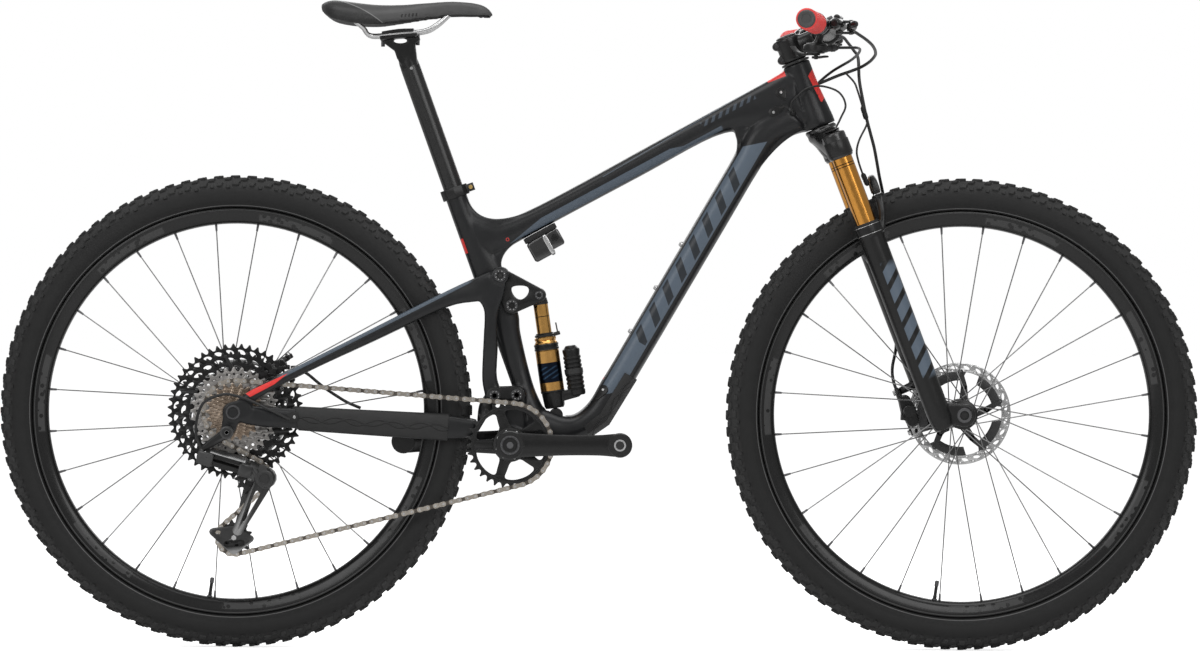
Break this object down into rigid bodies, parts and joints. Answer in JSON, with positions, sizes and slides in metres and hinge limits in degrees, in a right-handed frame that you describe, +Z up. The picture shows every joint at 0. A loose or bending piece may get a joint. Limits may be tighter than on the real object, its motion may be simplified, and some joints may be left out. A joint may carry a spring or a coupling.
{
  "type": "mountain bicycle",
  "caption": "Full-suspension cross-country mountain bicycle with linkage rear suspension, disc brakes, a single chainring and a wide-range derailleur drivetrain, without pedals.",
  "frame": {"origin": "on the ground, midway between the wheel axles and on the bicycle's middle plane", "axes": "+X forward, +Y to the rider's left, +Z up"},
  "size_m": [1.8668, 0.7722, 1.0085],
  "materials": {
    "composite_charcoal": "satin clear coat over charcoal composite",
    "black_anodised": "satin black anodised",
    "guard_rubber": "matte moulded rubber",
    "tyre_rubber": "matte black rubber",
    "rim_black": "gloss black composite",
    "rotor_steel": "brushed steel on a black carrier",
    "cassette_steel": "nickel-plated steel, the largest sprockets black",
    "chain_steel": "nickel-plated steel",
    "crank_black": "satin black",
    "derailleur_black": "satin black",
    "pulley_plastic": "matte",
    "bronze_anodised": "polished bronze anodised",
    "shock_black": "satin black",
    "fork_black": "satin black",
    "caliper_grey": "satin grey",
    "cockpit_black": "satin black",
    "grip_red": "matte red rubber",
    "shifter_plastic": "matte",
    "saddle_cover": "matte dark grey cover",
    "rail_steel": "satin steel",
    "battery_gloss": "gloss black",
    "hose_black": "semi-gloss hose"
  },
  "bodies": {
    "frame": {"front_frame": "composite_charcoal", "bottom_bracket": "black_anodised", "seat_clamp": "black_anodised", "downtube_guard": "guard_rubber", "suspension_battery": "battery_gloss", "rear_brake_hose": "hose_black", "shift_housing": "hose_black", "suspension_wire": "hose_black"},
    "seat": {"seatpost": "cockpit_black", "saddle_rails": "rail_steel", "saddle": "saddle_cover"},
    "swingarm": {"swingarm": "composite_charcoal", "chainstay_guard": "guard_rubber", "rear_axle": "black_anodised", "rear_caliper": "caliper_grey", "rear_shift_housing": "hose_black", "rear_brake_hose_rear": "hose_black", "chain": "chain_steel", "derailleur_b_knuckle": "derailleur_black"},
    "upper_link": {"upper_link": "black_anodised"},
    "lower_link": {"lower_link": "black_anodised"},
    "shock_body": {"shock_can": "shock_black"},
    "shock_shaft": {"shock_shaft": "bronze_anodised"},
    "steering": {"fork_crown": "fork_black", "stanchion_left": "bronze_anodised", "stanchion_right": "bronze_anodised", "stem": "cockpit_black", "handlebar": "cockpit_black", "grip_left": "grip_red", "grip_right": "grip_red", "brake_body_left": "cockpit_black", "brake_body_right": "cockpit_black", "shifter_body": "shifter_plastic", "front_brake_hose": "hose_black", "sensor_wire": "hose_black"},
    "fork_lower": {"fork_lowers": "fork_black", "front_axle": "black_anodised", "front_caliper": "caliper_grey"},
    "front_wheel": {"front_tyre": "tyre_rubber", "front_rim": "rim_black", "front_hub": "black_anodised", "front_rotor": "rotor_steel"},
    "rear_wheel": {"rear_tyre": "tyre_rubber", "rear_rim": "rim_black", "rear_hub": "black_anodised", "rear_rotor": "rotor_steel"},
    "cassette": {"cassette": "cassette_steel"},
    "crankset": {"crank_right": "crank_black", "crank_left": "crank_black", "chainring": "crank_black"},
    "brake_lever_left": {"brake_blade_left": "cockpit_black"},
    "brake_lever_right": {"brake_blade_right": "cockpit_black"},
    "shift_thumb": {"shift_thumb_lever": "shifter_plastic"},
    "shift_release": {"shift_release_lever": "shifter_plastic"},
    "outer_link": {"derailleur_outer_link": "derailleur_black"},
    "inner_link": {"derailleur_inner_link": "derailleur_black"},
    "lower_knuckle": {"derailleur_p_knuckle": "derailleur_black"},
    "cage": {"derailleur_cage": "derailleur_black"},
    "guide_pulley": {"guide_pulley": "pulley_plastic"},
    "tension_pulley": {"tension_pulley": "pulley_plastic"}
  },
  "joints": [
    {"name": "steering", "type": "hinge", "parent": "frame", "child": "steering", "pos_m": [0.34233, 0, 0.8153], "axis": [-0.3584, 0, 0.9336], "range_deg": [-70, 70], "deforming": ["rear_brake_hose", "shift_housing", "suspension_wire"]},
    {"name": "fork_travel", "type": "slide", "parent": "steering", "child": "fork_lower", "axis": [-0.3584, 0, 0.9336], "range_m": [0, 0.1], "stiffness_N_per_m": 6000, "springref_m": -0.02, "deforming": ["front_brake_hose", "sensor_wire"]},
    {"name": "front_wheel_spin", "type": "hinge", "parent": "fork_lower", "child": "front_wheel", "pos_m": [0.56545, 0, 0.368], "axis": [0, 1, 0], "continuous": true},
    {"name": "seat_height", "type": "slide", "parent": "frame", "child": "seat", "axis": [-0.3387, 0, 0.9409], "range_m": [-0.07, 0.015]},
    {"name": "crank_spin", "type": "hinge", "parent": "frame", "child": "crankset", "pos_m": [-0.13724, 0, 0.319], "axis": [0, 1, 0], "continuous": true},
    {"name": "upper_link_turn", "type": "hinge", "parent": "frame", "child": "upper_link", "pos_m": [-0.13624, 0, 0.5347], "axis": [0, 1, 0], "range_deg": [0, 52.5], "stiffness_Nm_per_rad": 60, "springref_deg": -20.05, "deforming": ["chain"]},
    {"name": "swingarm_turn", "type": "hinge", "parent": "upper_link", "child": "swingarm", "pos_m": [-0.15444, 0, 0.5815], "axis": [0, -1, 0], "range_deg": [0, 38.8]},
    {"name": "lower_link_turn", "type": "hinge", "parent": "frame", "child": "lower_link", "pos_m": [-0.12794, 0, 0.3958], "axis": [0, 1, 0], "range_deg": [0, 9.63]},
    {"name": "shock_tilt", "type": "hinge", "parent": "frame", "child": "shock_body", "pos_m": [-0.06704, 0, 0.3642], "axis": [0, -1, 0], "range_deg": [0, 2.52]},
    {"name": "shock_stroke", "type": "slide", "parent": "shock_body", "child": "shock_shaft", "axis": [0.1431, 0, -0.9897], "range_m": [0, 0.0395]},
    {"name": "rear_wheel_spin", "type": "hinge", "parent": "swingarm", "child": "rear_wheel", "pos_m": [-0.56545, 0, 0.368], "axis": [0, 1, 0], "continuous": true},
    {"name": "cassette_spin", "type": "hinge", "parent": "swingarm", "child": "cassette", "pos_m": [-0.56545, 0, 0.368], "axis": [0, 1, 0], "continuous": true},
    {"name": "left_brake", "type": "hinge", "parent": "steering", "child": "brake_lever_left", "pos_m": [0.38025, 0.215, 0.96076], "axis": [0, 0, 1], "range_deg": [0, 18], "stiffness_Nm_per_rad": 1.5, "springref_deg": -11.46},
    {"name": "right_brake", "type": "hinge", "parent": "steering", "child": "brake_lever_right", "pos_m": [0.38025, -0.215, 0.96076], "axis": [0, 0, -1], "range_deg": [0, 18], "stiffness_Nm_per_rad": 1.5, "springref_deg": -11.46},
    {"name": "thumb_lever", "type": "hinge", "parent": "steering", "child": "shift_thumb", "pos_m": [0.32821, -0.19, 0.92096], "axis": [0, 0, -1], "range_deg": [0, 25], "stiffness_Nm_per_rad": 0.5, "springref_deg": -11.46},
    {"name": "release_lever", "type": "hinge", "parent": "steering", "child": "shift_release", "pos_m": [0.32821, -0.19, 0.91596], "axis": [0, 0, 1], "range_deg": [0, 12], "stiffness_Nm_per_rad": 0.5, "springref_deg": -11.46},
    {"name": "shift", "type": "hinge", "parent": "swingarm", "child": "outer_link", "pos_m": [-0.59768, -0.08533, 0.30605], "axis": [0.1724, 0.7878, 0.5912], "range_deg": [-41.7, 33.5]},
    {"name": "inner_link_turn", "type": "hinge", "parent": "swingarm", "child": "inner_link", "pos_m": [-0.60121, -0.07547, 0.29395], "axis": [0.1724, 0.7878, 0.5912], "range_deg": [-41.8, 33.6]},
    {"name": "lower_knuckle_turn", "type": "hinge", "parent": "outer_link", "child": "lower_knuckle", "pos_m": [-0.54776, -0.08533, 0.29149], "axis": [-0.1724, -0.7878, -0.5912], "range_deg": [-41.8, 33.6]},
    {"name": "cage_swing", "type": "hinge", "parent": "lower_knuckle", "child": "cage", "pos_m": [-0.51555, 0, 0.2663], "axis": [0, -1, 0], "range_deg": [-47.98, 38.55]},
    {"name": "guide_pulley_spin", "type": "hinge", "parent": "cage", "child": "guide_pulley", "pos_m": [-0.53695, -0.0437, 0.2672], "axis": [0, 1, 0], "continuous": true},
    {"name": "tension_pulley_spin", "type": "hinge", "parent": "cage", "child": "tension_pulley", "pos_m": [-0.56545, -0.0437, 0.1728], "axis": [0, 1, 0], "continuous": true}
  ],
  "couplings": [
    {"joint": "swingarm_turn", "follows": "upper_link_turn", "ratio": 0.738},
    {"joint": "lower_link_turn", "follows": "upper_link_turn", "ratio": 0.1825},
    {"joint": "shock_tilt", "follows": "upper_link_turn", "ratio": 0.047},
    {"joint": "shock_stroke", "follows": "upper_link_turn", "m_per_rad": 0.043},
    {"joint": "cassette_spin", "follows": "crank_spin", "ratio": 1.3333},
    {"joint": "guide_pulley_spin", "follows": "crank_spin", "ratio": -2.4615},
    {"joint": "tension_pulley_spin", "follows": "crank_spin", "ratio": 2.4615},
    {"joint": "inner_link_turn", "follows": "shift", "ratio": 1},
    {"joint": "lower_knuckle_turn", "follows": "shift", "ratio": 1},
    {"joint": "cage_swing", "follows": "shift", "ratio": 1.15}
  ]
}
